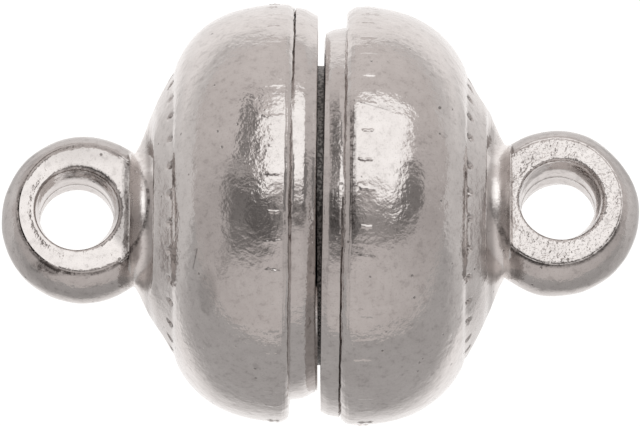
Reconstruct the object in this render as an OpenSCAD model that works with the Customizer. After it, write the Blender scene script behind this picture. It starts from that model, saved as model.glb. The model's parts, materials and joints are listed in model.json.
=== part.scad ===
// A round magnetic clasp: two cast cups, each with a disc magnet in its mouth and a loop at its back.
// Lengths are in millimetres and angles in degrees. The closed clasp lies on its side along X,
// on the plane z = 0, with its lips meeting at x = 0.

/* [Dome] */
// Diameter over the fullest part of each dome
dome_d = 8; // [7:0.1:9]
// Distance from the lip's face to the fullest part
crown_x = 0.73; // [0.7:0.01:0.85]
// Distance from the fullest part to the shoulder at the dome's back
dome_depth = 2.04; // [1.9:0.01:2.4]
// How far the shoulder lies inside the fullest radius
shoulder_drop = 1.34; // [1.15:0.01:1.5]
// Rounding of the dome's front edge, beside the lip
front_round_r = 0.16; // [0.08:0.01:0.2]

/* [Lip] */
// Length of the lip in front of the dome
lip_len = 0.45; // [0.35:0.01:0.5]
// How far the lip's root lies inside the fullest radius
lip_step = 0.28; // [0.25:0.01:0.4]
// How far the lip's radius falls from its root to its face
lip_draft = 0.07; // [0.02:0.01:0.12]
// Rounding of the lip's outer edge
lip_round_r = 0.17; // [0.08:0.01:0.2]
// How far the lip sits to one side of the dome's axis, as the casting has it
lip_shift = 0.13; // [0:0.01:0.15]

/* [Cap and neck] */
// Height of the step between the dome and the cap behind it
step_h = 0.06; // [0.02:0.01:0.1]
// Angle between the cap's slope and the axis
cap_angle = 62; // [56:1:66]
// Diameter of the neck that carries the loop
neck_d = 2.6; // [2.3:0.05:2.9]
// Radius of the hollow fillet between cap and neck
neck_fillet_r = 0.25; // [0.15:0.01:0.35]
// Rounding of the neck's end
neck_round_r = 0.06; // [0.04:0.01:0.12]

/* [Loop] */
// Outer diameter of the ring
ring_d = 3.17; // [3:0.01:3.3]
// Thickness of the ring along its hole
ring_t = 1.25; // [1.1:0.01:1.4]
// Diameter of the flat face on each side of the ring
face_d = 2.47; // [2.3:0.01:2.6]
// Slope at which the ring's rounded side leaves its flat faces
crease_angle = 22; // [10:1:26]
// Distance from the neck's end to the ring's centre
ring_out = 0.78; // [0.7:0.01:0.9]
// Diameter of the hole at its narrowest
hole_d = 1.42; // [1.2:0.01:1.5]
// How far the socket's hole lies beyond its ring's centre, as the casting has it
socket_hole_out = 0.13; // [0:0.01:0.15]
// The same for the plug's hole
plug_hole_out = 0.03; // [0:0.01:0.15]
// How much the hole's radius widens at each face
flare_w = 0.12; // [0.05:0.01:0.2]
// Depth of that widening
flare_depth = 0.3; // [0.2:0.01:0.4]
// How far the neck and the loop sit to the other side of the axis, as the casting has it
loop_shift = 0.14; // [0:0.005:0.2]

/* [Shoulder notches] */
// Number of notches around the cap, beside the step
notch_count = 30; // [20:1:36]
// Length of a notch down the cap's slope
notch_len = 0.34; // [0.2:0.01:0.45]
// Half the width of a notch at the step
notch_r = 0.095; // [0.05:0.005:0.12]

/* [Girth ticks] */
// Number of raised ticks around the dome
tick_count = 43; // [24:1:54]
// Distance from the fullest part back to the middle of a tick
tick_back = 0.15; // [0.1:0.01:0.3]
// Length of a tick
tick_len = 0.3; // [0.15:0.01:0.4]
// Radius of the bead that makes a tick
tick_r = 0.045; // [0.03:0.005:0.07]
// Height of a tick above the dome
tick_h = 0.02; // [0.01:0.005:0.03]

/* [Magnets] */
// Diameter of each disc magnet
magnet_d = 5.7; // [5:0.05:5.8]
// Thickness of each disc magnet
magnet_t = 1.8; // [1.4:0.05:2]
// Bevel of a magnet's edges
magnet_bevel = 0.08; // [0.03:0.01:0.12]
// Gap for glue between a magnet and its pocket
glue_gap = 0.05; // [0.02:0.01:0.08]
// How far the socket's magnet lies below its lip's face
socket_sink = 0.15; // [0.1:0.01:0.25]
// Room around the plug's magnet where it enters the socket's mouth
mouth_gap = 0.2; // [0.18:0.01:0.25]

/* [Underside] */
// Depth of the flat that the mould's ejector pin leaves on each dome, where the clasp lies
pin_flat = 0.07; // [0.05:0.005:0.1]

/* [Closed position] */
// Gap between the two lips, at the axis
lip_gap = 0.1; // [0.08:0.01:0.2]
// Gap between the two magnets' faces
magnet_gap = 0.05; // [0.05:0.01:0.08]
// How far the two cups have slipped past each other sideways
side_slip = 0.05; // [0:0.01:0.1]
// How far the plug's cup is turned about the axis
plug_turn = -3; // [-45:1:45]
// How far the plug's cup leans sideways
plug_lean = -0.8; // [-1:0.1:1]

/* [Hidden] */
$fn = 96;
overlap = 0.1;
cut_margin = 0.5;

dome_r = dome_d / 2;
neck_r = neck_d / 2;
hole_r = hole_d / 2;
magnet_r = magnet_d / 2;
axis_z = dome_r - pin_flat;

// The dome's side is one arc, level at the fullest part, that ends at the shoulder.
arc_r = (pow(dome_depth, 2) + pow(shoulder_drop, 2)) / (2 * shoulder_drop);
arc_centre_r = dome_r - arc_r;
shoulder_x = crown_x + dome_depth;
cap_r = dome_r - shoulder_drop - step_h;
cap_end_x = shoulder_x + (cap_r - neck_r) / tan(cap_angle);
fillet_run = neck_fillet_r * tan(cap_angle / 2);
neck_end_x = cap_end_x + fillet_run + neck_round_r;
ring_x = neck_end_x + ring_out;
ring_r = ring_d / 2;

front_centre_x = lip_len + front_round_r;
front_centre_r = arc_centre_r + sqrt(pow(arc_r - front_round_r, 2) - pow(crown_x - front_centre_x, 2));
lip_root_r = dome_r - lip_step;
lip_face_r = lip_root_r - lip_draft;
plug_proud = lip_gap + socket_sink - magnet_gap;

// Radius of the dome's side at a distance from the lip's face
function dome_side_r(x) = arc_centre_r + sqrt(pow(arc_r, 2) - pow(x - crown_x, 2));

// Profiles are drawn with the radius along X and the distance from the lip's face along Y.
module side_box(r_low, r_high, x_low, x_high) {
    translate([r_low, x_low]) square([r_high - r_low, x_high - x_low]);
}

module dome_profile() {
    intersection() {
        translate([arc_centre_r, crown_x]) circle(arc_r);
        side_box(0, dome_r, front_centre_x, shoulder_x);
    }
    side_box(0, arc_centre_r, front_centre_x - overlap, shoulder_x);
    side_box(0, front_centre_r, lip_len, front_centre_x + overlap / 2);
    translate([front_centre_r, front_centre_x]) circle(front_round_r);
}

module lip_profile() {
    side_box(0, lip_face_r - lip_round_r, 0, lip_round_r + overlap);
    translate([lip_face_r - lip_round_r, lip_round_r]) circle(lip_round_r);
    polygon([
        [0, lip_round_r],
        [lip_face_r, lip_round_r],
        [lip_root_r, lip_len],
        [lip_root_r, lip_len + overlap],
        [0, lip_len + overlap]
    ]);
}

module cap_profile() {
    polygon([
        [0, shoulder_x - overlap],
        [cap_r, shoulder_x - overlap],
        [cap_r, shoulder_x],
        [neck_r, cap_end_x],
        [0, cap_end_x]
    ]);
}

// The neck rises from inside the cap, so that it still meets the slope where it sits to one side
module neck_profile() {
    foot_r = neck_r + fillet_run * sin(cap_angle);
    foot_x = cap_end_x - fillet_run * cos(cap_angle);
    side_box(0, neck_r, shoulder_x, neck_end_x - neck_round_r);
    side_box(0, neck_r - neck_round_r, shoulder_x, neck_end_x);
    translate([neck_r - neck_round_r, neck_end_x - neck_round_r]) circle(neck_round_r);
    difference() {
        polygon([
            [neck_r - overlap, shoulder_x],
            [foot_r, shoulder_x],
            [foot_r, foot_x],
            [neck_r + neck_fillet_r, cap_end_x + fillet_run],
            [neck_r - overlap, cap_end_x + fillet_run]
        ]);
        translate([neck_r + neck_fillet_r, cap_end_x + fillet_run]) circle(neck_fillet_r);
    }
}

// The ring before its hole is cut, its axis along Z: two flat faces and a rounded side between creases
module ring_disc() {
    side_round_r = (ring_d - face_d) / 2 / (1 - sin(crease_angle));
    round_z = ring_t / 2 - side_round_r * cos(crease_angle);
    rotate_extrude() {
        side_box(0, face_d / 2, -ring_t / 2, ring_t / 2);
        if (round_z > 0) side_box(0, ring_r, -round_z, round_z);
        for (end = [-1, 1])
            intersection() {
                translate([ring_r - side_round_r, end * round_z]) circle(side_round_r);
                side_box(0, ring_r, -ring_t / 2, ring_t / 2);
            }
    }
}

// A magnet with its face at z = 0 and bevelled edges
module magnet_disc() {
    rotate_extrude()
        polygon([
            [0, 0],
            [magnet_r - magnet_bevel, 0],
            [magnet_r, magnet_bevel],
            [magnet_r, magnet_t - magnet_bevel],
            [magnet_r - magnet_bevel, magnet_t],
            [0, magnet_t]
        ]);
}

module loop_ring() {
    translate([0, -loop_shift, ring_x]) rotate([0, 90, 0]) ring_disc();
}

// The loop's hole, narrow in the middle and wider at both faces
module loop_hole(hole_out) {
    translate([0, -loop_shift, ring_x + hole_out])
        rotate([0, 90, 0]) {
            cylinder(h = ring_t + 2 * cut_margin, r = hole_r, center = true);
            for (side = [0, 1])
                mirror([0, 0, side])
                    translate([0, 0, ring_t / 2 - flare_depth])
                        cylinder(h = flare_depth, r1 = hole_r, r2 = hole_r + flare_w);
        }
}

// The row of small cone-shaped notches down the top of the cap's slope
module shoulder_notches() {
    for (i = [0 : notch_count - 1])
        rotate([0, 0, i * 360 / notch_count])
            translate([cap_r, 0, shoulder_x])
                rotate([0, -cap_angle, 0])
                    cylinder(h = notch_len, r1 = notch_r, r2 = notch_r / 3, $fn = 24);
}

// The row of raised ticks just behind the fullest part
module girth_ticks() {
    tick_x = crown_x + tick_back;
    for (i = [0 : tick_count - 1])
        rotate([0, 0, i * 360 / tick_count])
            translate([dome_side_r(tick_x) + tick_h - tick_r, 0, tick_x])
                rotate([0, -asin(tick_back / arc_r), 0])
                    cylinder(h = tick_len, r = tick_r, center = true, $fn = 24);
}

// One casting, with its lip's face at z = 0, its loop up the Z axis and its hole along X
module cup(pocket_depth, mouth_depth, hole_out) {
    difference() {
        union() {
            rotate_extrude() dome_profile();
            translate([0, lip_shift, 0]) rotate_extrude() lip_profile();
            rotate_extrude() cap_profile();
            translate([0, -loop_shift, 0]) rotate_extrude() neck_profile();
            loop_ring();
            girth_ticks();
        }
        loop_hole(hole_out);
        shoulder_notches();
        translate([0, 0, -cut_margin]) cylinder(h = pocket_depth + cut_margin, r = magnet_r + glue_gap);
        if (mouth_depth > 0)
            translate([0, 0, -cut_margin]) cylinder(h = mouth_depth + cut_margin, r = magnet_r + mouth_gap);
    }
}

// Turns a piece so that its back points along -X, for the socket's half
module socket_place() {
    translate([-lip_gap / 2, side_slip / 2, axis_z]) rotate([0, -90, 0]) children();
}

// The same piece turned end for end, for the plug's half, which has slipped, turned and leans a little
module plug_place() {
    translate([0, -side_slip / 2, axis_z])
        rotate([0, 0, plug_lean]) rotate([plug_turn, 0, 0])
            rotate([0, 0, 180]) translate([-lip_gap / 2, 0, 0]) rotate([0, -90, 0]) children();
}

// All that lies below the plane z = 0, which is the face of both flats
module below_flats() {
    reach = shoulder_x + lip_gap;
    translate([-reach, -dome_r, -dome_r]) cube([2 * reach, dome_d, dome_r]);
}

module socket_cup() {
    color("silver")
        difference() {
            socket_place() cup(magnet_t + socket_sink + glue_gap, socket_sink, socket_hole_out);
            below_flats();
        }
}

module socket_magnet() {
    color("dimgray") socket_place() translate([0, 0, socket_sink]) magnet_disc();
}

module plug_cup() {
    color("silver")
        difference() {
            plug_place() cup(magnet_t - plug_proud + glue_gap, 0, plug_hole_out);
            below_flats();
        }
}

module plug_magnet() {
    color("dimgray") plug_place() translate([0, 0, -plug_proud]) magnet_disc();
}

socket_cup();
socket_magnet();
plug_cup();
plug_magnet();
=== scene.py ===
# %% [markdown]
# # A magnetic clasp, dressed in Blender
#
# The real object is a jewellery clasp about 12 mm long. Two cups of zinc are cast in a mould and
# plated a warm grey. Each has a disc magnet glued in its mouth and a loop at its back. This lesson
# takes the exact, plain solids of the clasp as a fixed frame. It gives each casting a finer mesh
# with the wobble, dents and worn relief of the real one, then a metal finish, a light and a camera.
#
# First the imported solids are loaded. They say where each piece lies, so nothing is placed by eye.

# %% Load the solid model
import json
import math
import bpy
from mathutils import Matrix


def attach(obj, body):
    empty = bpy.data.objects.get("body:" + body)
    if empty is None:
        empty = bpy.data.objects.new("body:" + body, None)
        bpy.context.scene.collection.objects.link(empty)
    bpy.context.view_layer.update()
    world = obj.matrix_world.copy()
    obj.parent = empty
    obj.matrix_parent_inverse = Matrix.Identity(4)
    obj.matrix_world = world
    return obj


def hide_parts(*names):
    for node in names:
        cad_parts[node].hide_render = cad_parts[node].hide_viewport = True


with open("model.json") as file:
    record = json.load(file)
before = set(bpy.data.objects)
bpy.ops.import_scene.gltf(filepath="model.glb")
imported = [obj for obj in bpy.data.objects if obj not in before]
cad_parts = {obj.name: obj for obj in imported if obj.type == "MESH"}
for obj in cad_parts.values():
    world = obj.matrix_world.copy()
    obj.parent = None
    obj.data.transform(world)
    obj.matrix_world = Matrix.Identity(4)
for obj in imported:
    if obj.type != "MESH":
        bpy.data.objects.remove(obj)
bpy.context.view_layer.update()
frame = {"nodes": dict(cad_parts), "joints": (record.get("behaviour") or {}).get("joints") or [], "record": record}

from types import SimpleNamespace

import bmesh
import bpy
import numpy as np
from mathutils import Matrix, Vector

record = frame["record"]
MM = 0.001

# %% [markdown]
# ## The sizes of one casting
#
# Both cups come out of like moulds, so one set of sizes serves both. They are written in
# millimetres in the cup's own frame: the lip's face is at depth 0 and the loop is at the far end.
# A cup is a body of revolution with a ring on its back. It could be sculpted, but a lathe
# profile made of lines and arcs gives clean, even highlights, which is what metal shows first.
# The neck's fillet here only sets how far back the neck ends, as in the solid model. The rounding
# that shows at its foot is tighter, and comes with the neck below.

# %% Sizes of the cup
DOME_R = 4.0
CROWN_DEPTH = 0.73
DOME_DEPTH = 2.04
SHOULDER_DROP = 1.34
STEP = 0.06
CAP_ANGLE = math.radians(62)
NECK_R = 1.3
NECK_FILLET = 0.25
NECK_ROUND = 0.06
CORNER = 0.03
LOOP_SHIFT = 0.14
MAGNET_R = 2.85
MAGNET_T = 1.8
GLUE_GAP = 0.05

shoulder_z = CROWN_DEPTH + DOME_DEPTH
side_r = (DOME_DEPTH ** 2 + SHOULDER_DROP ** 2) / (2 * SHOULDER_DROP)
side_centre_r = DOME_R - side_r
cap_r = DOME_R - SHOULDER_DROP - STEP
cap_end_z = shoulder_z + (cap_r - NECK_R) / math.tan(CAP_ANGLE)
fillet_run = NECK_FILLET * math.tan(CAP_ANGLE / 2)
neck_end_z = cap_end_z + fillet_run + NECK_ROUND
print(f"the dome's side is an arc of {side_r:.2f} mm, and the neck ends {neck_end_z:.2f} mm back")

# %% Sizes of the loop
RING_R = 1.585
RING_T = 1.25
FACE_R = 1.25
CREASE_ANGLE = math.radians(22)
RING_OUT = 0.78
HOLE_R = 0.71
FLARE_W = 0.11
FLARE_DEPTH = 0.3
SOCKET_HOLE_OUT = 0.13
PLUG_HOLE_OUT = 0.03

ring_z = neck_end_z + RING_OUT
print(f"the loop is {2 * RING_R:.2f} mm across, its centre {ring_z:.2f} mm behind the lip")

# %% [markdown]
# ## Where the two cups lie
#
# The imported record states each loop's hole, and the joint states the line that the plug slides and
# turns about. Those are all that is needed to stand a cup in its place: its own Z runs along that
# line towards the loop, and its own X along the hole. Reading them keeps the two models together.

# %% Read the places from the record
mounts = {mount["name"]: mount for mount in record["mounts"]}
joints = {joint["name"]: joint for joint in frame["joints"]}


def cup_place(mount, towards_loop, hole_out):
    """The matrix, in millimetres, that puts a cup's own frame where its loop's hole is stated."""
    along = Vector(towards_loop).normalized()
    hole = Vector(mount["axis"]).normalized()
    side = along.cross(hole)
    hole_centre = Vector(mount["pos_m"]) / MM
    origin = hole_centre + side * LOOP_SHIFT - along * (ring_z + hole_out)
    turn = Matrix((hole, side, along)).transposed().to_4x4()
    return Matrix.Translation(origin) @ turn


AXIS_HEIGHT = mounts["socket_loop"]["pos_m"][2] / MM
ELEVATION = math.radians(70)
socket_place = cup_place(mounts["socket_loop"], (-1, 0, 0), SOCKET_HOLE_OUT)
plug_place = cup_place(mounts["plug_loop"], joints["swivel"]["axis"], PLUG_HOLE_OUT)
print("lips' centres, mm:", [round(v, 3) for v in socket_place.translation],
      [round(v, 3) for v in plug_place.translation])

# %% [markdown]
# ## The lathe profile
#
# The outline is drawn from the middle of the magnet's pocket out over the lip, along the dome and
# down the neck. Straight stretches get few points. Roundings, and the bands where small relief will
# be pushed in later, get many, because a mesh can only show what it has points for.

# %% Lines, arcs and smooth steps


def line(start, end, count):
    """Points from start up to, but without, end."""
    share = np.linspace(0, 1, count, endpoint=False)[:, None]
    return np.array(start) * (1 - share) + np.array(end) * share


def path(points, counts):
    """Straight stretches from point to point, with so many points on each."""
    return [line(start, end, count) for start, end, count in zip(points, points[1:], counts)]


def arc(centre, radius, first, last, count):
    """Points of an arc, without its last. Angle 0 points outwards and a right angle to the loop."""
    angle = np.linspace(first, last, count, endpoint=False)
    return np.stack([centre[0] + radius * np.cos(angle), centre[1] + radius * np.sin(angle)], 1)


def ease(value, low, high):
    """0 below low, 1 above high, and a smooth rise between them."""
    share = np.clip((value - low) / (high - low), 0, 1)
    return share * share * (3 - 2 * share)


def side_point(angle):
    """The point of the dome's side at an angle back from the crown."""
    return (side_centre_r + side_r * math.cos(angle), CROWN_DEPTH + side_r * math.sin(angle))


def side_radius(depth):
    """The dome's radius at a depth behind the lip's face."""
    return side_centre_r + math.sqrt(side_r ** 2 - (depth - CROWN_DEPTH) ** 2)


print(f"the dome is {2 * side_radius(CROWN_DEPTH):.2f} mm across at its fullest")

# %% [markdown]
# ## The front of the dome
#
# At its front each dome ends in a flat bevel with a fine groove along both edges. A bevel modifier
# would round that edge evenly. Here the two grooves are drawn, because they are what shows.

# %% Bevel and grooves
BEVEL_ANGLE = math.radians(40)
GROOVE_DEEP = 0.014
GROOVE_W = 0.03
LEDGE = 0.02


def front_rows(lip_r, lip_len, bevel_w):
    """The outline of the dome's front, and the depth where it ends."""
    inner_z = lip_len + LEDGE
    outer_z = lip_len + bevel_w
    outer_r = side_radius(outer_z)
    inner_r = outer_r - (bevel_w - LEDGE) * math.tan(BEVEL_ANGLE)
    slope = (outer_r - inner_r) / (outer_z - inner_z)
    end_z = outer_z + GROOVE_W
    points = [
        (lip_r + CORNER, lip_len),
        (inner_r - GROOVE_W, lip_len),
        (inner_r, inner_z),
        (outer_r - GROOVE_W * slope, outer_z - GROOVE_W),
        (outer_r - GROOVE_DEEP, outer_z),
        (side_radius(end_z), end_z),
    ]
    return path(points, (2, 2, 3, 2, 2)), end_z


print(f"the bevel slopes at {math.degrees(BEVEL_ANGLE):.0f} degrees")

# %% [markdown]
# ## The neck
#
# The neck isn't quite round. The mould opens along the loop's hole, and beside each flat face of the
# loop it leaves a hollow cove. So the neck is drawn twice, with and without the cove, and each
# column of the mesh takes a share of both.

# %% Neck with and without its cove
NOTCH_BAND = 0.36
FOOT_ROUND = 0.12
NECK_BULGE = 0.03
NECK_EDGE_R = 1.29
NECK_FACE_R = 1.2
NECK_MIDDLE_R = 0.66
COVE_EDGE_R = 2.07
COVE_R = 1.09
COVE_Z = 3.30
COVE_ROUND = 0.28
COVE_TURN = math.radians(63)
COLLAR_Z = 3.56


def cap_point(inwards):
    """The point of the sloping cap that is this far inwards from its rim."""
    return (cap_r - inwards, shoulder_z + inwards / math.tan(CAP_ANGLE))


def cove_rows(start):
    """The outline of the cap's foot and the cove, and the depth where the neck ends there."""
    rim = COVE_ROUND * math.sin(COVE_TURN)
    wall_r = COVE_R + COVE_ROUND * (1 - math.cos(COVE_TURN))
    collar = (wall_r + 0.01, COLLAR_Z)
    end = (NECK_FACE_R, COLLAR_Z + 0.02)
    centre = (COVE_R + COVE_ROUND, COVE_Z)
    rows = path([start, cap_point(cap_r - COVE_EDGE_R), (wall_r, COVE_Z - rim)], (4, 4))
    rows.append(arc(centre, COVE_ROUND, math.pi + COVE_TURN, math.pi - COVE_TURN, 10))
    return rows + path([(wall_r, COVE_Z + rim), collar, end], (3, 3)), COLLAR_Z + 0.03


def round_rows(start):
    """The outline of the cap's foot and the plain neck, and the depth where the neck ends there."""
    run = FOOT_ROUND * math.tan(CAP_ANGLE / 2)
    foot = (NECK_R + run * math.sin(CAP_ANGLE), cap_end_z - run * math.cos(CAP_ANGLE))
    edge = (NECK_EDGE_R, neck_end_z - 0.03)
    end = (NECK_FACE_R, neck_end_z)
    centre = (NECK_R + FOOT_ROUND, cap_end_z + run)
    rows = [line(start, foot, 8), arc(centre, FOOT_ROUND, 1.5 * math.pi - CAP_ANGLE, math.pi, 10)]
    return rows + path([(NECK_R, cap_end_z + run), edge, end], (3, 3)), neck_end_z + NECK_BULGE


def neck_rows(draw):
    """The cap's foot and the neck, from the notches back to the middle of the neck's end."""
    rows, end_z = draw(cap_point(NOTCH_BAND))
    rows.append(line(rows[-1][-1], (NECK_MIDDLE_R, end_z), 5)[1:])
    rows.append(line((NECK_MIDDLE_R, end_z), (0.0, neck_end_z), 3))
    rows.append(np.array([[0.0, neck_end_z]]))
    return np.concatenate(rows)


print(f"the neck has {len(neck_rows(round_rows))} points where it is round")

# %% [markdown]
# ## The whole outline
#
# The lip's front edge is sloped, not round, and the dome's back and the cap are a little fuller than
# plain arcs and lines. That fullness was found by laying the outline over the real one.

# %% Whole outline
CAP_BULGE = 0.05
CAP_LIFT = 0.025
TICK_BAND = 0.36
SLOPE_IN = 0.46
LIP_ROUND = 0.3


def fill_out(outline, fuller):
    """The outline with the back of its dome and its cap a little fuller than the plain arcs."""
    radius, depth = outline.T
    outer = radius > NECK_R
    back_of_dome = ease(depth, CROWN_DEPTH + 0.25, 2.45) * (1 - ease(depth, 2.5, 2.95)) * outer
    down_the_cap = np.clip((cap_r - radius) / (cap_r - NECK_R), 0, 1)
    on_cap = outer * (depth > shoulder_z - 0.001)
    radius = radius + fuller * back_of_dome
    depth = depth + (CAP_BULGE * np.sin(math.pi * down_the_cap) + CAP_LIFT * (1 - down_the_cap)) * on_cap
    return np.stack([radius, depth], 1)


def mouth_rows(pocket):
    """The outline from the middle of the pocket's floor to the lip's face."""
    pocket_depth, mouth_r, mouth_depth = pocket
    pocket_r = MAGNET_R + GLUE_GAP
    rows = path([(0.0, pocket_depth), (pocket_r, pocket_depth), (pocket_r, mouth_depth)], (2, 1))
    if mouth_depth > 0:
        rows += path([(pocket_r, mouth_depth), (mouth_r, mouth_depth), (mouth_r, CORNER)], (2, 2))
    rows.append(arc((mouth_r + CORNER, CORNER), CORNER, math.pi, 1.5 * math.pi, 3))
    return rows


def lip_rows(mouth_r, lip):
    """The outline of the lip: its face, its sloped edge and its side."""
    lip_r, lip_len, lip_edge, draft, _ = lip
    right = math.pi / 2
    soft = 0.02
    face_r = lip_r - draft
    slope_r = face_r - SLOPE_IN * lip_edge
    lip_round = LIP_ROUND * lip_edge
    points = [
        (slope_r, lip_round),
        (face_r - soft, lip_edge - soft),
        (face_r, lip_edge + soft),
        (lip_r, lip_len - CORNER),
    ]
    rows = [line((mouth_r + CORNER, 0), (slope_r - lip_round, 0), 3)]
    rows.append(arc((slope_r - lip_round, lip_round), lip_round, -right, -0.25 * right, 5))
    rows += path(points, (3, 2, 4))
    rows.append(arc((lip_r + CORNER, lip_len - CORNER), CORNER, 2 * right, right, 3))
    return rows


def cup_outlines(pocket, lip, bevel_w, fuller):
    """Two outlines of radius and depth: through the loop's edge, and through its flat faces."""
    lip_r, lip_len = lip[:2]
    rim = (cap_r, shoulder_z)
    front, front_z = front_rows(lip_r, lip_len, bevel_w)
    front_angle = math.asin((front_z - CROWN_DEPTH) / side_r)
    tick_end = math.asin(TICK_BAND / side_r)
    rows = mouth_rows(pocket) + lip_rows(pocket[1], lip) + front
    rows.append(arc((side_centre_r, CROWN_DEPTH), side_r, front_angle, tick_end, 20))
    rows.append(arc((side_centre_r, CROWN_DEPTH), side_r, tick_end, CAP_ANGLE, 25))
    rows.append(line(side_point(CAP_ANGLE), rim, 4))
    rows.append(line(rim, cap_point(NOTCH_BAND), 16))
    shared = np.concatenate(rows)
    by_edge = fill_out(np.concatenate([shared, neck_rows(round_rows)]), fuller)
    by_face = fill_out(np.concatenate([shared, neck_rows(cove_rows)]), fuller)
    print(f"outlines of {len(by_edge)} and {len(by_face)} points")
    return by_edge, by_face


print(f"the cap swells by {CAP_BULGE} mm")

# %% [markdown]
# ## Casting wobble
#
# No cast and tumbled surface is true. A sum of a few long cosine waves with random directions makes
# smooth lumps that never repeat, and the same seed gives the same lumps each time. Blender's
# displace modifier could do it too, but here the lumps also have to fade out inside the mouth.

# %% Smooth random lumps


def lumps(points, size, seed, waves=28):
    """A smooth random height, roughly from -1 to 1, with lumps of about the given size."""
    rng = np.random.default_rng(seed)
    direction = rng.normal(size=(waves, 3))
    direction /= np.linalg.norm(direction, axis=1)[:, None]
    pace = math.pi / size * rng.uniform(0.6, 1.4, waves)
    phase = rng.uniform(0, 2 * math.pi, waves)
    height = np.zeros(len(points))
    for way, speed, start in zip(direction, pace, phase):
        height += np.cos(points @ way * speed + start)
    return height / math.sqrt(waves)


print("the lumps at three places:", lumps(np.eye(3), 2.6, 1).round(2))

# %% [markdown]
# ## Ticks and notches
#
# The mould leaves a row of fine raised ticks round each dome's fullest part, and a row of small
# notches beside the step at its back, rounded by the tumbling. Both are worn and uneven. They are
# real relief here, pushed out of or into the mesh, so they catch the light from any side. The
# columns of the mesh are crowded together at each tick, so that a line only 0.06 mm wide still has
# a round top.

# %% The rows of relief
TICK_COUNT = 43
TICK_HALF_W = 0.030
TICK_HALF_LEN = 0.19
TICK_H = 0.024
TICK_DEPTH = CROWN_DEPTH + 0.11
NOTCH_COUNT = 30
NOTCH_LEN = 0.23
NOTCH_HALF_W = 0.09
NOTCH_DEEP = 0.12
COLUMNS_PER_TICK = 14
SOCKET_TICKS = [-45, -35.7, -27.6, -19.6, -9.2, -1.6, 7.3, 17, 25.7, 33.7, 42.5]
PLUG_TICKS = [-99.8, -87.9, -79.8, -72.4, -63.3, -56, -48, -39.6, -31, -22.7, -12.5, -4.3, 4, 12.4, 22, 30]


def tick_angles(rng, hand):
    """Ticks where the upper side shows them worn and uneven, and evenly spaced ones elsewhere."""
    if hand > 0:
        shown = np.array(SOCKET_TICKS)
    else:
        shown = 3.0 - np.array(PLUG_TICKS)[::-1]
    free = 360 - (shown[-1] - shown[0])
    count = TICK_COUNT - len(shown)
    rest = shown[-1] + free * np.arange(1, count + 1) / (count + 1) + rng.uniform(-0.6, 0.6, count)
    return np.radians(np.concatenate([shown, rest]))


def tick_columns(rng, hand):
    """The ticks' angles and the angles of the mesh's columns, which crowd round the ticks."""
    ticks = tick_angles(rng, hand)
    close = np.linspace(-1.9, 1.9, 7) * TICK_HALF_W / DOME_R
    columns = []
    for tick, after in zip(ticks, np.append(ticks[1:], ticks[0] + 2 * math.pi)):
        columns.extend(tick + close)
        wide = np.linspace(tick + close[-1], after + close[0], COLUMNS_PER_TICK - 5)
        columns.extend(wide[1:-1])
    return ticks, np.array(columns)


def gap_between(angles, others):
    """For each angle, the signed turn from the nearest of the others, and which one that is."""
    turn = (angles[:, None] - others + math.pi) % (2 * math.pi) - math.pi
    nearest = np.abs(turn).argmin(axis=1)
    return turn[np.arange(len(angles)), nearest], nearest


def tick_height(angles, depth, ticks, rng):
    """How far the ticks stand out, for every row and column. Each bends and fades in its own way."""
    strength = rng.uniform(0.25, 1.0, TICK_COUNT)
    length = TICK_HALF_LEN * rng.uniform(0.6, 1.15, TICK_COUNT)
    place = TICK_DEPTH + rng.uniform(-0.03, 0.03, TICK_COUNT)
    bend = rng.uniform(-0.03, 0.03, TICK_COUNT)
    slant = rng.uniform(-0.12, 0.12, TICK_COUNT)
    turn, which = gap_between(angles, ticks)
    along = depth[:, None] - place[which]
    share = along / length[which]
    middle = bend[which] * (share ** 2 - 0.5) + slant[which] * along + 0.008 * np.cos(9 * share + 2 * which)
    across = np.clip(np.abs(turn * DOME_R - middle) / TICK_HALF_W, 0, 1)
    worn = 0.75 + 0.25 * np.cos(7 * share + which)
    window = 1 - ease(np.abs(share), 0.6, 1.0)
    return TICK_H * (1 - across ** 2) ** 1.5 * strength[which] * worn * window


def notch_depth(angles, radius, depth, rng):
    """How deep the notches are, for every row and column: round pits, widest at the rim."""
    pitch = 2 * math.pi / NOTCH_COUNT
    notches = np.arange(NOTCH_COUNT) * pitch + rng.uniform(-0.07, 0.07, NOTCH_COUNT) * pitch
    strength = rng.uniform(0.7, 1.0, NOTCH_COUNT)
    length = NOTCH_LEN * rng.uniform(0.85, 1.0, NOTCH_COUNT)
    turn, which = gap_between(angles, notches)
    down = (depth - shoulder_z)[:, None] / math.cos(CAP_ANGLE)
    share = down / length[which]
    half = NOTCH_HALF_W * np.clip(1.1 - 0.8 * share, 0.05, 1)
    across = np.clip(np.abs(turn) * radius[:, None] / half, 0, 1)
    along = ease(share, 0.0, 0.35) * (1 - ease(share, 0.4, 1.0))
    return NOTCH_DEEP * strength[which] * (1 - across ** 2) ** 1.2 * along


print(f"{TICK_COUNT} ticks and {NOTCH_COUNT} notches on each cup")

# %% [markdown]
# ## Turning the outline into a casting
#
# Each point of the outline becomes a ring of corners, and the rings are joined by four-sided faces.
# The lip sits a little to one side of the dome and the neck to the other, as the two halves of the
# mould didn't quite meet, so each ring has its own centre. Relief moves a corner square to the
# outline, and all wobble goes inwards, so the casting never outgrows the solid model.

# %% Lathe one cup
FRONT_LEAN = 0.06
LIP_LEAN = 0.028
RIPPLE = 0.005


def outline_normals(outline):
    """The direction square to the outline at each point, pointing out of the metal."""
    run = np.gradient(outline, axis=0)
    run /= np.maximum(np.linalg.norm(run, axis=1), 1e-9)[:, None]
    return np.stack([run[:, 1], -run[:, 0]], 1)


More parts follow.
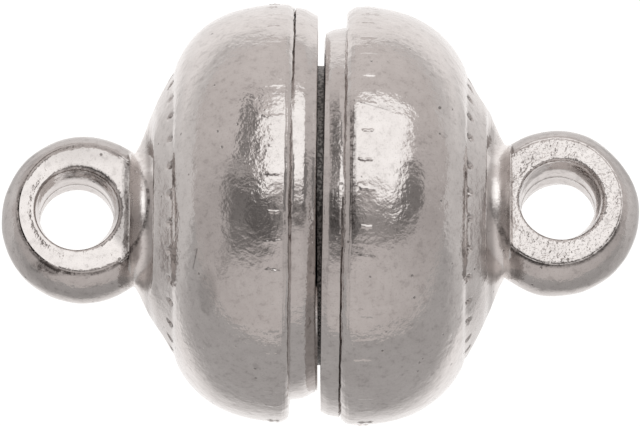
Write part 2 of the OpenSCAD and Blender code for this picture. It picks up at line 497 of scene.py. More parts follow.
def push_out(corners, push, outline, angles, axes):
    """Moves each corner square to its outline. The axes are two sideways and the turned one."""
    normal = outline_normals(outline)
    outwards = push * normal[:, :1]
    corners[..., axes[0]] += outwards * np.cos(angles)
    corners[..., axes[1]] += outwards * np.sin(angles)
    corners[..., axes[2]] += push * normal[:, 1:]


def ring_centres(outline, first_outside, lip_shift, lip_len):
    """How far each ring of corners is moved sideways, for the lip and for the neck."""
    depth = outline[:, 1]
    order = np.arange(len(outline))
    lip = lip_shift * (1 - ease(depth, lip_len - 0.03, lip_len + 0.005)) * (order >= first_outside)
    neck = LOOP_SHIFT * ease(depth, shoulder_z + 0.1, cap_end_z) * (order > len(outline) // 2)
    return lip - neck


def make_mesh(name, points, faces):
    """A mesh from arrays of points and lists of faces."""
    mesh = bpy.data.meshes.new(name)
    mesh.from_pydata(points.tolist(), [], faces)
    return mesh


def bands(first_corners, next_corners, columns):
    """Four-sided faces between pairs of rows, each row given as the number of its first corner."""
    column = np.arange(columns)
    after = (column + 1) % columns
    faces = []
    for low, high in zip(first_corners, next_corners):
        faces.extend(np.stack([low + column, low + after, high + after, high + column], 1).tolist())
    return faces


def grid_mesh(name, corners):
    """A closed mesh from rows of corners, whose first and last rows each shrink to a point."""
    rows, columns = corners.shape[:2]
    ring = np.arange(columns)
    after = (ring + 1) % columns
    inner = corners[1:-1].reshape(-1, 3)
    points = np.concatenate([corners[0, :1], inner, corners[-1, :1]])
    starts = 1 + np.arange(rows - 3) * columns
    faces = bands(starts, starts + columns, columns)
    last = len(points) - 1
    top = last - columns
    faces.extend(np.stack([np.zeros_like(ring), 1 + after, 1 + ring], 1).tolist())
    faces.extend(np.stack([np.full_like(ring, last), top + ring, top + after], 1).tolist())
    return make_mesh(name, points, faces)


def lean_over(outline, lip_len):
    """How far each ring of corners leans: most at the front edge, half at the lip, none behind."""
    depth = outline[:, 1]
    at_lip = 1 - ease(depth, 0.15, lip_len)
    at_edge = ease(depth, 0.15, lip_len - 0.05) * (1 - ease(depth, lip_len + 0.13, CROWN_DEPTH))
    return at_lip * LIP_LEAN + at_edge * FRONT_LEAN


def edge_ripple(outline, angles, seed, lip_len):
    """The slight waviness of the dome's front edge, for every row and column."""
    depth = outline[:, 1]
    near_edge = ease(depth, lip_len - 0.06, lip_len) * (1 - ease(depth, lip_len + 0.15, lip_len + 0.25))
    wavy = np.sin(9 * angles + seed) + np.sin(23 * angles + 2) + 0.7 * np.sin(61 * angles)
    wavy += 0.5 * np.sin(97 * angles)
    return np.outer(near_edge, RIPPLE * wavy)


def lathe_cup(name, outlines, first_outside, seed, hand, lip_shift, lip_len):
    """The cup without its loop, in millimetres in its own frame, with its leaning front."""
    rng = np.random.default_rng(seed)
    ticks, angles = tick_columns(rng, hand)
    outline, by_face = outlines
    radius, depth = outline.T
    face_share = ease(np.abs(np.cos(angles + 0.06 * hand)), 0.1, 0.75)
    outside = (np.arange(len(outline)) >= first_outside).astype(float)
    centre = ring_centres(outline, first_outside, lip_shift, lip_len)
    reach = radius[:, None] + np.outer(by_face[:, 0] - radius, face_share)
    flat = np.stack([
        reach * np.cos(angles),
        reach * np.sin(angles) + centre[:, None],
        depth[:, None] + np.outer(by_face[:, 1] - depth, face_share),
    ], 2)
    tilt = -np.sin(angles) if hand > 0 else 0.4 - 0.4 * np.sin(angles)
    flat[..., 2] += np.outer(lean_over(outline, lip_len) * outside, tilt)
    flat[..., 2] += edge_ripple(outline, angles, seed, lip_len) * outside[:, None]
    points = flat.reshape(-1, 3)
    shape = flat.shape[:2]
    broad = lumps(points, 2.6, seed + 1).reshape(shape)
    local = lumps(points, 0.8, seed + 2).reshape(shape)
    wobble = 0.009 * broad + 0.005 * local - 0.02
    relief = tick_height(angles, depth, ticks, rng) * outside[:, None]
    back_half = (np.arange(len(outline)) > len(outline) // 2).astype(float)
    relief -= notch_depth(angles, radius, depth, rng) * back_half[:, None]
    away_from_poles = ease(radius, 0.2, 0.8) * outside * (0.35 + 0.65 * ease(depth, 0.1, 0.6))
    push_out(flat, relief + wobble * away_from_poles[:, None], outline, angles, (0, 1, 2))
    print(f"{name}: {shape[0]} rows of {shape[1]} corners")
    return grid_mesh(name, flat)


print(f"the front edges lean by {FRONT_LEAN} mm")

# %% [markdown]
# ## The loop
#
# The loop is a thick flat ring with a round hole that opens at both faces. Its mould parts at the
# middle of its thickness, which leaves a faint ridge round the inside of the hole. It is turned
# from an outline like the cup's, but round the hole, and its start and end rows meet.

# %% Turn one loop
RING_COLUMNS = 240
PARTING = 0.012
LOOP_WIDER = 1.02
RING_WIDER = 0.03


def ring_outline(face_groove):
    """The loop's cross-section: distance from the hole's middle, and height along the hole."""
    half = RING_T / 2
    edge = 0.03
    throat = half - FLARE_DEPTH
    mouth = HOLE_R + FLARE_W
    crease = math.pi / 2 - CREASE_ANGLE
    turn = math.radians(50)
    across = (math.cos(turn) - math.cos(crease), 1 - math.cos(turn))
    down = (math.sin(crease) - math.sin(turn), math.sin(turn))
    tight, wide = np.linalg.solve((across, down), (RING_R - FACE_R, half))
    points = [
        (HOLE_R - PARTING, 0),
        (HOLE_R, edge),
        (HOLE_R, throat),
        (mouth - edge / 2, half - edge),
        (mouth + edge, half),
        (FACE_R - 0.05, half),
        (FACE_R - 0.02, half - face_groove),
        (FACE_R, half - 0.002),
    ]
    upper = path(points, (2, 4, 5, 2, 6, 2, 2))
    crease_centre = (FACE_R - tight * math.cos(crease), half - tight * math.sin(crease))
    upper.append(arc(crease_centre, tight, crease, turn, 4))
    upper.append(arc((RING_R - wide, 0), wide, turn, 0, 9))
    top = np.concatenate(upper)
    bottom = top[1:][::-1] * np.array([1, -1])
    return np.concatenate([top, [[RING_R, 0.0]], bottom])


def turn_ring(name, seed, face_groove, hole_out, mouth_out, lower):
    """The loop in millimetres in the cup's frame, its hole along X and a little off its centre."""
    outline = ring_outline(face_groove)
    angles = np.linspace(0, 2 * math.pi, RING_COLUMNS, endpoint=False)
    reach = outline[:, 0]
    off_centre = hole_out * (1 - np.clip((reach - HOLE_R) / (FACE_R - HOLE_R), 0, 1))
    past_hole = ease(reach, HOLE_R, HOLE_R + FLARE_W)
    off_centre += mouth_out * past_hole * (1 - ease(reach, HOLE_R + FLARE_W, FACE_R))
    wider = LOOP_WIDER + RING_WIDER * ease(reach, HOLE_R + FLARE_W, FACE_R)
    sideways = LOOP_SHIFT + lower * ease(reach, HOLE_R, FACE_R)
    corners = np.stack([
        np.repeat(outline[:, 1][:, None], RING_COLUMNS, 1),
        np.outer(reach * wider, np.cos(angles)) - sideways[:, None],
        np.outer(reach, np.sin(angles)) + (ring_z + off_centre)[:, None],
    ], 2)
    points = corners.reshape(-1, 3)
    shape = corners.shape[:2]
    wobble = 0.008 * lumps(points, 0.9, seed + 5) + 0.004 * lumps(points, 0.35, seed + 6) - 0.018
    outer = ease(reach, HOLE_R + FLARE_W, HOLE_R + FLARE_W + 0.2)[:, None]
    push_out(corners, -wobble.reshape(shape) * outer, outline, angles, (1, 2, 0))
    starts = np.arange(shape[0]) * RING_COLUMNS
    faces = bands(starts, np.roll(starts, -1), RING_COLUMNS)
    return make_mesh(name, corners.reshape(-1, 3), faces)


print(f"the loop's outline has {len(ring_outline(0.0))} points")

# %% [markdown]
# ## One casting from two meshes
#
# The real loop grows out of the cup's neck, as one piece of metal. A boolean union joins the two
# meshes the same way, so that no hidden faces are left inside. The seam is then eased by a little
# smoothing, because a mould has no razor-sharp inner corners.

# %% Join the loop to its cup


def face_outwards(mesh):
    """Turns all faces the same way, out of the metal."""
    work = bmesh.new()
    work.from_mesh(mesh)
    bmesh.ops.recalc_face_normals(work, faces=work.faces)
    work.to_mesh(mesh)
    work.free()


def add_object(name, mesh):
    """Links a mesh into the scene."""
    piece = bpy.data.objects.new(name, mesh)
    bpy.context.scene.collection.objects.link(piece)
    return piece


def join_loop(name, cup_mesh, ring_mesh):
    """The union of the cup and its loop, as one mesh."""
    for mesh in (cup_mesh, ring_mesh):
        face_outwards(mesh)
    cup = add_object(name + "_lathe", cup_mesh)
    ring = add_object(name + "_ring", ring_mesh)
    union = cup.modifiers.new("union", "BOOLEAN")
    union.operation = "UNION"
    union.solver = "MANIFOLD"
    union.object = ring
    bpy.context.view_layer.update()
    graph = bpy.context.evaluated_depsgraph_get()
    joined = bpy.data.meshes.new_from_object(cup.evaluated_get(graph))
    bpy.data.objects.remove(cup)
    bpy.data.objects.remove(ring)
    return joined


def ease_seam(mesh):
    """Softens the inner corner where the loop meets the neck."""
    work = bmesh.new()
    work.from_mesh(mesh)
    near = [v for v in work.verts if abs(v.co.z - neck_end_z) < 0.07 and v.co.x ** 2 < 1]
    for _ in range(4):
        bmesh.ops.smooth_vert(work, verts=near, factor=0.5,
                              use_axis_x=True, use_axis_y=True, use_axis_z=True)
    work.to_mesh(mesh)
    work.free()


def press_flat(mesh):
    """The small flat of the mould's ejector pin, where the clasp lies: nothing goes below the table."""
    corners = np.empty(3 * len(mesh.vertices), dtype=np.float32)
    mesh.vertices.foreach_get("co", corners)
    low = corners[2::3] < 0
    corners[2::3][low] = 0
    mesh.vertices.foreach_set("co", corners)
    print(f"the pin's flat took {int(low.sum())} corners")


def cast_cup(name, place, seed, hand, pocket, lip, bevel_w, fuller, loop):
    """One finished casting, placed in the clasp's frame, in metres."""
    lip_r, lip_len, lip_edge, draft, lip_shift = lip
    outlines = cup_outlines(pocket, lip, bevel_w, fuller)
    flat_face_r = lip_r - draft - (SLOPE_IN + LIP_ROUND) * lip_edge
    first_outside = int(np.argmax(outlines[0][:, 0] >= flat_face_r - 0.001))
    cup_mesh = lathe_cup(name, outlines, first_outside, seed, hand, lip_shift, lip_len)
    ring_mesh = turn_ring(name, seed, *loop)
    mesh = join_loop(name, cup_mesh, ring_mesh)
    ease_seam(mesh)
    mesh.transform(Matrix.Scale(MM, 4) @ place)
    press_flat(mesh)
    mesh.shade_smooth()
    mesh.set_sharp_from_angle(angle=math.radians(50))
    mesh.name = name
    triangles = sum(len(face.vertices) - 2 for face in mesh.polygons)
    print(f"{name}: {triangles} triangles")
    return add_object(name, mesh)


print(f"the seam is eased {neck_end_z:.2f} mm behind the lip")

# %% [markdown]
# ## The two castings
#
# Each casting has its own few sizes, as the two moulds aren't quite alike. A pocket is its depth, and
# the mouth's radius and depth. A lip is its radius, length, the width of its sloped edge, its draft
# and its sideways shift. A loop is the depth of the groove round its flat face, how far its hole is
# beyond its middle, how far the hole's mouth is beyond that, and how far the loop sits to one side.

# %% The two castings
SOCKET_SINK = 0.15
MOUTH_GAP = 0.2
PLUG_PROUD = 0.2

socket_pocket = (MAGNET_T + SOCKET_SINK + GLUE_GAP, MAGNET_R + MOUTH_GAP, SOCKET_SINK)
socket_lip = (3.76, 0.48, 0.22, 0.045, 0.19)
socket_loop = (0.02, SOCKET_HOLE_OUT, 0.0, 0.0)
socket_cup = cast_cup("socket_casting", socket_place, 11, 1, socket_pocket, socket_lip,
                      bevel_w=0.10, fuller=0.09, loop=socket_loop)
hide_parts("socket_cup")
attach(socket_cup, "socket_half")

plug_pocket = (MAGNET_T - PLUG_PROUD + GLUE_GAP, MAGNET_R + GLUE_GAP, 0)
plug_lip = (3.72, 0.38, 0.11, 0.05, 0.14)
plug_loop = (0.004, PLUG_HOLE_OUT, 0.06, -0.035)
plug_cup = cast_cup("plug_casting", plug_place, 23, -1, plug_pocket, plug_lip,
                    bevel_w=0.13, fuller=0.07, loop=plug_loop)
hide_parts("plug_cup")
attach(plug_cup, "plug_half")

# %% [markdown]
# ## Writing materials as sums
#
# A shader is a little calculation for each point of a surface. Wiring it by hand takes many lines,
# so one small class wraps a socket and lets maths be written as maths: mask * 0.5 + grain adds
# the Math nodes by itself. A second class holds one material and has one method for every
# other kind of node.

# %% A socket that can be added and multiplied


def plug_in(tree, entry, value):
    """Gives an input socket either a link or a plain value."""
    if isinstance(value, Wire):
        tree.links.new(value.socket, entry)
    else:
        entry.default_value = value


class Wire:
    """One output socket. Maths written on it becomes Math nodes."""

    def __init__(self, tree, socket):
        self.tree = tree
        self.socket = socket

    def maths(self, operation, *values):
        """A Math node on the values, clamped only if the operation does so itself."""
        node = self.tree.nodes.new("ShaderNodeMath")
        node.operation = operation
        for place, value in enumerate(values):
            plug_in(self.tree, node.inputs[place], value)
        return Wire(self.tree, node.outputs[0])

    def __add__(self, other):
        return self.maths("ADD", self, other)

    def __radd__(self, other):
        return self.maths("ADD", other, self)

    def __sub__(self, other):
        return self.maths("SUBTRACT", self, other)

    def __rsub__(self, other):
        return self.maths("SUBTRACT", other, self)

    def __mul__(self, other):
        return self.maths("MULTIPLY", self, other)

    def __rmul__(self, other):
        return self.maths("MULTIPLY", other, self)

    def __truediv__(self, other):
        return self.maths("DIVIDE", self, other)

    def __rtruediv__(self, other):
        return self.maths("DIVIDE", other, self)

    def __pow__(self, other):
        return self.maths("POWER", self, other)

    def __rpow__(self, other):
        return self.maths("POWER", other, self)

    def __abs__(self):
        return self.maths("ABSOLUTE", self)

    def at_least(self, floor):
        """The value, or the floor where the value is lower."""
        return self.maths("MAXIMUM", self, floor)

    def at_most(self, ceiling):
        """The value, or the ceiling where the value is higher."""
        return self.maths("MINIMUM", self, ceiling)

    def above(self, edge, blur):
        """0 where the value is under the edge, 1 where it is over, with a soft change of that width."""
        node = self.tree.nodes.new("ShaderNodeMapRange")
        node.interpolation_type = "SMOOTHSTEP"
        plug_in(self.tree, node.inputs["Value"], self)
        plug_in(self.tree, node.inputs["From Min"], edge - blur / 2)
        plug_in(self.tree, node.inputs["From Max"], edge + blur / 2)
        return Wire(self.tree, node.outputs[0])

    def below(self, edge, blur):
        """The opposite of above."""
        return 1 - self.above(edge, blur)


class Finish:
    """A node tree under construction, either a material's or the world's."""

    def __init__(self, tree):
        self.tree = tree

    def node(self, kind, settings=None, inputs=None, output=0):
        """Adds a node, sets its settings, then its sockets, and returns one output."""
        made = self.tree.nodes.new(kind)
        for name, value in (settings or {}).items():
            setattr(made, name, value)
        for name, value in (inputs or {}).items():
            plug_in(self.tree, made.inputs[name], value)
        return Wire(self.tree, made.outputs[output])

    def mix(self, share, first, second):
        """A colour between two colours, and past the second where the share is over 1."""
        made = self.tree.nodes.new("ShaderNodeMix")
        made.data_type = "RGBA"
        made.clamp_factor = False
        plug_in(self.tree, made.inputs[0], share)
        plug_in(self.tree, made.inputs[6], first)
        plug_in(self.tree, made.inputs[7], second)
        return Wire(self.tree, made.outputs[2])

    def split(self, vector):
        """The three parts of a vector."""
        made = self.tree.nodes.new("ShaderNodeSeparateXYZ")
        self.tree.links.new(vector.socket, made.inputs[0])
        return [Wire(self.tree, made.outputs[place]) for place in range(3)]

    def noise(self, where, per_mm, detail=2.0, rough=0.5):
        """A cloudy value from 0 to 1 with about that many clouds to a millimetre."""
        inputs = {"Vector": where, "Scale": per_mm, "Detail": detail, "Roughness": rough}
        return self.node("ShaderNodeTexNoise", inputs=inputs)


def new_material(name):
    """A material with an empty principled shader, and its builder."""
    material = bpy.data.materials.new(name)
    material.use_nodes = True
    shader = material.node_tree.nodes["Principled BSDF"]
    return material, Finish(material.node_tree), shader


def wire_shader(finish, shader, entries):
    """Links or sets the principled shader's own sockets."""
    for name, value in entries.items():
        plug_in(finish.tree, shader.inputs[name], value)


print("shader helpers ready")

# %% [markdown]
# ## Patches and lines
#
# Stains, scratches and the dark shapes in the tent are all soft ovals and soft straight bands on a
# flat plane. Both are worked out from the distance to their middle, so they need no picture.

# %% Patches and lines on a plane


def distance(first, second):
    """The length of the way that goes this far along two axes."""
    return (first * first + second * second) ** 0.5


def oval(plane, middle, half, soft=0.5):
    """An oval patch with a soft edge. The plane is given as its two axes."""
    across, along = plane
    return distance((across - middle[0]) / half[0], (along - middle[1]) / half[1]).below(1.0, soft)


def band(plane, start, end, width, soft, end_soft):
    """A straight band between two places, with soft sides and ends."""
    across, along = plane
    run = (end[0] - start[0], end[1] - start[1])
    length = math.hypot(*run)
    ahead = ((across - start[0]) * run[0] + (along - start[1]) * run[1]) / length
    aside = ((across - start[0]) * run[1] - (along - start[1]) * run[0]) / length
    return abs(aside).below(width / 2, soft) * ahead.above(0.0, end_soft) * ahead.below(length, end_soft)


def scratch(plane, start, end):
    """A thin straight line."""
    return band(plane, start, end, 0.02, 0.02, 0.05)


print("patches and bands ready")

# %% [markdown]
# ## Places on a casting
#
# Dirt, wear and the painted shade follow the form, so the finish has to know where on the casting
# a point lies. The distances from the clasp's middle, its long axis and the loop's hole say that.
# They are in millimetres, and taken at rest, so the grain has its real size and needs no unwrapping.

# %% Places on a casting
RING_X = abs(socket_place.translation.x) + ring_z


def in_millimetres(finish, shift):
    """The place on the part, as seen at rest, in millimetres: plain, and moved for the noise."""
    place = finish.node("ShaderNodeTexCoord", output=3)
    plain = finish.node("ShaderNodeVectorMath", {"operation": "SCALE"}, {0: place, "Scale": 1 / MM})
    moved = finish.node("ShaderNodeVectorMath", {"operation": "ADD"}, {0: plain, 1: (shift, shift, shift)})
    return plain, moved


def casting_places(finish, plain, where, hole):
    """Distances, fine noises, and the masks of the loop and the neck."""
    at = SimpleNamespace()
    x, at.y, z = finish.split(plain)
    at.side = abs(x)
    at.height = z - AXIS_HEIGHT
    at.upper = at.height.above(0.0, 0.4)
    at.up = at.y * math.sin(ELEVATION) + at.height * math.cos(ELEVATION)
    at.plane = (at.side, at.up)
    at.mottle = finish.noise(where, 7.0, 3, 0.6)
    at.speckle = finish.noise(where, 24.0, 2, 0.7)
    at.patchy = at.mottle.above(0.45, 0.25) + at.speckle.below(0.5, 0.2) * 0.5
    hole_x = abs(hole[0]) / MM
    hole_y = hole[1] / MM
    from_middle = at.y - hole_y
    off_plane = abs(at.height)
    at.from_hole = distance(at.side - hole_x, from_middle)
    at.from_ring = distance(at.side - RING_X, from_middle / (LOOP_WIDER + RING_WIDER))
    on_loop = at.side.above(3.64, 0.06)
    at.face = on_loop * off_plane.above(0.53, 0.1) * at.from_ring.below(FACE_R - 0.02, 0.06)
    at.rim = on_loop * at.from_ring.above(1.28, 0.2) * off_plane.below(0.42, 0.4)
    at.far_rim = on_loop * at.from_ring.above(1.28, 0.1) * at.y.above(0.5, 0.8)
    near_axis = distance(at.y, at.height).below(1.95, 0.3)
    at.cove = (at.side - at.y * 0.12).above(3.14, 0.05) * at.side.below(3.60, 0.06) * near_axis
    # The groove's mask carries a painted highlight on the neck.
    at.groove = at.cove * at.side.above(3.30, 0.12)
    at.cap = at.side.above(2.82, 0.12) * at.side.below(3.12, 0.1)
    at.foot = at.side.above(2.7, 0.3) * at.side.below(3.7, 0.1) * at.up.below(-1.5, 0.8)
    return at


print(f"the loops' middles are {RING_X:.2f} mm from the clasp's middle")

# %% [markdown]
# ## Stains and scratches
#
# Each casting has its own marks: darker places in the crease round the loop's flat face and in the
# mouth of its hole, a dull patch on the lip, and a few fine scratches. They are listed in
# millimetres from the clasp's middle and along the upper side, where the real one shows them.

# %% Marks of the two castings


def socket_marks(at):
    """Stains and scratches of the socket's casting."""
    flare = at.from_hole.above(0.72, 0.03) * at.from_hole.below(0.90, 0.08) * at.y.above(0.42, 0.2)
    flare = flare * at.side.above(3.86, 0.1) * at.side.below(4.86, 0.15) * at.height.above(0.3, 0.2)
    crease = abs(at.from_ring - FACE_R).below(0.03, 0.04) * at.y.below(0.5, 0.6)
    lower_left = oval(at.plane, (4.97, -1.0), (0.5, 0.15)) * (1 - at.face)
    lip_spot = oval(at.plane, (0.39, 0.02), (0.14, 0.24))
    ends = oval(at.plane, (3.67, -0.75), (0.09, 0.40)) + oval(at.plane, (3.70, 0.70), (0.07, 0.35))
    stains = crease * 0.55 + lower_left * 0.55 + lip_spot * 0.45 + ends * 0.3
    smudge = oval(at.plane, (2.11, -1.44), (0.17, 0.42))
    line_mark = scratch(at.plane, (2.30, -0.64), (2.38, -1.02))
    # Darker where the loop's face meets the neck, and towards the face's far end.
    web = oval(at.plane, (3.72, -0.1), (0.24, 0.50)) * 0.42 + at.up.above(1.0, 0.3) * 0.16
    end = (at.side + at.mottle * 0.16).below(3.80, 0.02) * 0.34
    on_top = (stains * at.patchy + smudge * 0.2 + line_mark * 0.5) * at.upper
    return on_top + flare * at.patchy * 0.5 + (web * (0.5 + at.mottle) + end) * at.face


def plug_marks(at):
    """Stains and scratches of the plug's casting."""
    crease = abs(at.from_ring - FACE_R).below(0.05, 0.05) * at.y.below(-0.3, 0.6)
    from_middle = at.up.above(-0.3, 0.3)
    streak = at.side.above(0.18, 0.03) * at.side.below(0.37, 0.03) * from_middle * at.up.below(2.2, 0.5)
    streak = streak * (1 - at.up.above(0.45, 0.15) * at.up.below(1.05, 0.15) * 0.8)
    border = at.side.above(0.56, 0.03) * at.side.below(0.67, 0.06) * from_middle * at.up.below(2.0, 0.4)
    line_mark = scratch(at.plane, (0.62, 2.14), (1.28, 1.95))
    speck = oval(at.plane, (2.25, 2.0), (0.03, 0.03))
    specks = at.face * at.speckle.below(0.42, 0.14)
    wall = at.from_hole.below(0.80, 0.05) * at.y.above(0.2, 0.4) * (1.2 - at.patchy * 0.5)
    stains = crease * 0.5 + streak * 0.45 + border * 0.6
    on_top = (stains * at.patchy + line_mark * 0.35 + speck * 0.7) * at.upper
    return on_top + specks * 0.3 + wall * 0.12


print("marks of both castings ready")

# %% [markdown]
# ## The plated casting's finish
#
# The plating is a warm grey metal over a casting that was tumbled but never polished. Three things
# make it read as real. The skin has a fine orange peel that breaks up the edges of reflections. It
# is pitted here and there. And the hollows that ambient occlusion finds are darkened as painted
# shade, as are the loop's rims, the neck's lower foot and its cove, while the neck's groove is made
# paler as a painted highlight. The loop's flat faces are hammered, more on the plug than on the socket.

# %% Plated metal
PLATING_DEEP = (0.545, 0.510, 0.495, 1)
PLATING_PALE = (0.645, 0.610, 0.594, 1)
# This dark colour serves both real tarnish and the painted shade.
TARNISH_AND_SHADE = (0.085, 0.073, 0.068, 1)
DEEPEST_TARNISH_AND_SHADE = 0.95


def painted_shade(finish, at):
    """Painted shade that follows the form: on the loop's rims, most on its far rim, at the neck's lower foot, in
    the cove and in fine hollows.
    """
    # Painted shade: darker in the hollows that ambient occlusion finds, mottled.
    hollows = finish.node("ShaderNodeAmbientOcclusion", {"only_local": True, "samples": 6},
                          {"Distance": 0.12 * MM}, output=1)
    painted_hollow_shade = hollows.below(0.60, 0.5) * (0.5 + at.mottle * 0.9)
    # Painted shade on the loop's rims, most on the far one, at the neck's lower foot and in the cove beside the
    # groove.
    on_loop = at.rim * 0.17 + at.far_rim * 0.24
    painted_neck_shade = at.foot * 0.20 + (at.cove - at.groove) * (0.5 + at.mottle) * 0.20
    return on_loop + painted_neck_shade + painted_hollow_shade * (1 - at.cove) * 0.14


def plated_metal(name, shift, hole, marks, hammered):
    """The warm grey plating of one casting."""
    material, finish, shader = new_material(name)
    plain, where = in_millimetres(finish, shift)
    at = casting_places(finish, plain, where, hole)
    clouds = finish.noise(where, 0.55, 3)
    blotches = finish.noise(where, 2.2, 3)
    grain = finish.noise(where, 11.0, 2, 0.6)
    pit = finish.node("ShaderNodeTexVoronoi", inputs={"Vector": where, "Scale": 2.4}).below(0.06, 0.04)
    specks = at.speckle.below(0.38, 0.1) + at.mottle.below(0.38, 0.1)
    tone = clouds.above(0.5, 0.5) * 0.35 + blotches.above(0.5, 0.4) * 0.3 + at.mottle.above(0.5, 0.3) * 0.35
    # Real marks, pits and specks, plus the painted shade of the rims, neck and hollows.
    tarnish_and_shade = painted_shade(finish, at) + marks(at) + pit * 0.55 + specks * 0.14
    # The neck's groove is made paler than the plating: a painted highlight.
    metal = finish.mix(tone + at.groove * 2.0, PLATING_DEEP, PLATING_PALE)
    dents = at.face * (grain * 1.5 + finish.noise(where, 9.0, 1) * 1.4) * hammered
    skin = finish.noise(where, 1.6, 1) * 2.0 + finish.noise(where, 4.8, 2) * 0.9 + grain * 0.62
    relief = skin - pit * 0.8 + dents
    bump = finish.node("ShaderNodeBump", inputs={"Strength": 1.0, "Distance": 0.01 * MM, "Height": relief})
    wire_shader(finish, shader, {
        "Base Color": finish.mix(tarnish_and_shade.at_most(DEEPEST_TARNISH_AND_SHADE), metal, TARNISH_AND_SHADE),
        "Metallic": 1.0,
        "Roughness": 0.07 + tone * 0.05 + tarnish_and_shade * 0.12 + at.cove * 0.18 + at.cap * 0.15,
        "Normal": bump,
    })
    return material


def set_finish(piece, material):
    """Gives a piece its only material."""
    piece.data.materials.clear()
    piece.data.materials.append(material)


socket_hole = mounts["socket_loop"]["pos_m"]
plug_hole = mounts["plug_loop"]["pos_m"]
set_finish(socket_cup, plated_metal("socket_casting_plating", 0.0, socket_hole, socket_marks, 0.18))
set_finish(plug_cup, plated_metal("plug_casting_plating", 31.0, plug_hole, plug_marks, 1.0))
print("nodes in the plating:", len(plug_cup.data.materials[0].node_tree.nodes))

# %% [markdown]
# ## The magnets
#
# A disc magnet is pressed from powder, bevelled and plated. Its finish here is dull and very dark:
# partly its own dull plating, partly painted shade of the narrow gap between the cups. The solid
# model's disc already has the true shape with its bevels, so it only needs a finish.

# %% Magnet finish
# These colours are dark partly as painted shade of the gap the magnets sit in.
MAGNET_DARK = (0.05, 0.047, 0.045, 1)
MAGNET_PALE = (0.28, 0.263, 0.252, 1)


def magnet_metal(name, shift):
    """Dull plating made very dark, partly as painted shade of the gap, over a speckled grain."""
    material, finish, shader = new_material(name)
    _, where = in_millimetres(finish, shift)
    clouds = finish.noise(where, 1.2, 4)
    grain = finish.noise(where, 18.0, 2)
    metal = finish.mix(clouds * 0.4 + grain.above(0.5, 0.16), MAGNET_DARK, MAGNET_PALE)
    bump = finish.node("ShaderNodeBump", inputs={"Strength": 0.4, "Distance": 0.02 * MM, "Height": grain})
    wire_shader(finish, shader, {
        "Base Color": metal,
        "Metallic": 1.0,
        "Roughness": 0.36 + clouds * 0.15,
        "Normal": bump,
    })
    return material


for node, shift in (("socket_magnet", 5.0), ("plug_magnet", 17.0)):
    set_finish(frame["nodes"][node], magnet_metal(node + "_plating", shift))
print(f"two magnets of {2 * MAGNET_R:.1f} mm finished")

# %% [markdown]
# ## Table, light and camera
#
# Small shiny things are shot on a lit white table inside a pale tent, with one big soft light above.
# A metal this smooth shows its surroundings more than itself, so the tent matters as much as the
# light. The table's glow is painted light: a pool of it under the clasp, less further off, and a
# dimmer band in front that paints the clasp's shade. Nothing casts a shadow on it.

# %% Table
TABLE_REACH = 0.6
PAINTED_POOL_GLOW = 1.08

table_corners = TABLE_REACH * np.array([(-1, -1, 0), (1, -1, 0), (1, 1, 0), (-1, 1, 0)])
floor = add_object("floor", make_mesh("floor", table_corners, [(0, 1, 2, 3)]))
floor_material, finish, shader = new_material("floor")
east, north, _ = finish.split(finish.node("ShaderNodeTexCoord", output=3))
east = abs(east) / MM
north = north / MM
# Painted light on the table: a glowing pool under the clasp, and a dimmer front that paints its shade.
painted_pool = east.below(6.9, 1.4) * north.above(-4.7, 3.4) * north.below(8.9, 6.0)
far = north.above(7.5, 9.0)
painted_table_glow = 0.50 + north.above(-3.5, 8.0) * 0.25 + far * (0.17 + east.below(15.0, 16.0) * 0.20)
painted_table_glow = painted_table_glow - east.above(20.0, 30.0) * far * 0.12 - north.above(40.0, 60.0) * 0.05
painted_table_glow = painted_table_glow + (PAINTED_POOL_GLOW - painted_table_glow) * painted_pool
wire_shader(finish, shader, {
    "Base Color": (0.05, 0.05, 0.05, 1),
    "Roughness": 0.9,
    "Specular IOR Level": 0.0,
    "Emission Color": finish.mix(painted_table_glow, (0, 0, 0, 1), (1, 0.98, 0.97, 1)),
    "Emission Strength": 1.0,
})
set_finish(floor, floor_material)
print(f"a table {2 * TABLE_REACH} m across")

# %% [markdown]
# ## The tent and its light
#
# The tent is the world shader, worked out from the direction alone. Directions above the table are
# laid out on an imagined ceiling one unit up, so a place on it is sideways distance over height.
# A panel with one slanting soft edge is the light. Beside and below it are the dark shapes of the
# camera, its tripod and a stand, which draw the dark rim beside each bright patch on the metal.

# %% Tent
PANEL_GLOW = 1.46

world = bpy.data.worlds.new("tent")
world.use_nodes = True
bpy.context.scene.world = world
tent = Finish(world.node_tree)
east, north, up = tent.split(tent.node("ShaderNodeTexCoord", output=0))
height = up.at_least(0.04)
across = east / height
back = north / height
ceiling = (across, back)

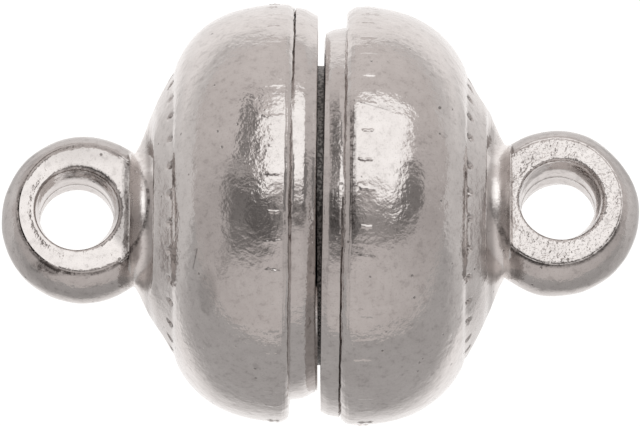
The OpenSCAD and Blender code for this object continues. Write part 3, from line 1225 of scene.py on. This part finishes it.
slant = back + abs(across - 0.06) * 0.42
panel = (across.above(-0.27, 0.08) * slant.above(-0.05, 0.20) * back.below(1.14, 0.12)
         * (across - back * 0.4).below(0.64, 0.32) * (back - across).below(1.0, 0.16))
camera_body = oval(ceiling, (-0.52, -0.36), (0.54, 0.50), 0.9)
lens = band(ceiling, (-0.46, -0.5), (-0.46, 1.15), 0.24, 0.16, 0.16)
tripod = band(ceiling, (-0.8, -0.6), (-3.4, -2.6), 0.36, 0.34, 0.34)
rail = band(ceiling, (-0.5, -0.46), (0.85, -0.42), 0.36, 0.2, 0.2)
stand = oval(ceiling, (1.02, -0.08), (0.52, 0.40), 0.7)
opening = back.above(0.0, 0.10) * back.below(0.17, 0.10) * across.above(-0.7, 0.2)
ahead = north / distance(east, north).at_least(0.001)
behind = ahead.at_least(0.0)
before = ahead.at_most(0.0)
glow = 0.585 + behind ** 0.7 * 0.25 + before * before * 0.16
glow = glow * (1 - (lens * 0.64).at_least(camera_body * 0.60) * (1 - opening * 0.6))
glow = glow * (1 - tripod * 0.26) * (1 - rail * 0.40) * (1 - stand * 0.52)
glow = glow + (PANEL_GLOW - glow) * panel * up.above(0.02, 0.04)
tint = tent.mix(panel, (1.0, 0.95, 0.93, 1), (1.0, 1.0, 0.995, 1))
background = world.node_tree.nodes["Background"]
plug_in(world.node_tree, background.inputs["Color"], tent.mix(glow, (0, 0, 0, 1), tint))
background.inputs["Strength"].default_value = 1.0
print("nodes in the tent:", len(world.node_tree.nodes))

# %% [markdown]
# ## The camera
#
# The clasp is seen from a little in front of straight overhead, through a long lens. So the camera
# is far off for so small a thing, and its lens is worked out from the scale.

# %% The camera
PIXELS_PER_MM = 52.5
FRAME_WIDTH, FRAME_HEIGHT = 640, 426
CENTRE_ROW = 214.3
CAMERA_FAR = 0.2

camera = bpy.data.cameras.new("camera")
camera.sensor_width = 36
camera.lens = camera.sensor_width * CAMERA_FAR / (FRAME_WIDTH / PIXELS_PER_MM * MM)
camera.clip_start = 0.01
camera.clip_end = 10
camera_object = bpy.data.objects.new("camera", camera)
bpy.context.scene.collection.objects.link(camera_object)
bpy.context.scene.camera = camera_object
towards_camera = Vector((0, -math.cos(ELEVATION), math.sin(ELEVATION)))
picture_up = Vector((0, math.sin(ELEVATION), math.cos(ELEVATION)))
aim = Vector((0, 0, AXIS_HEIGHT * MM)) + picture_up * ((CENTRE_ROW - FRAME_HEIGHT / 2) / PIXELS_PER_MM * MM)
camera_object.location = aim + towards_camera * CAMERA_FAR
camera_object.rotation_euler = (-towards_camera).to_track_quat("-Z", "Y").to_euler()
bpy.context.scene.view_settings.view_transform = "Standard"
print(f"camera lens {camera.lens:.0f} mm at {CAMERA_FAR} m")
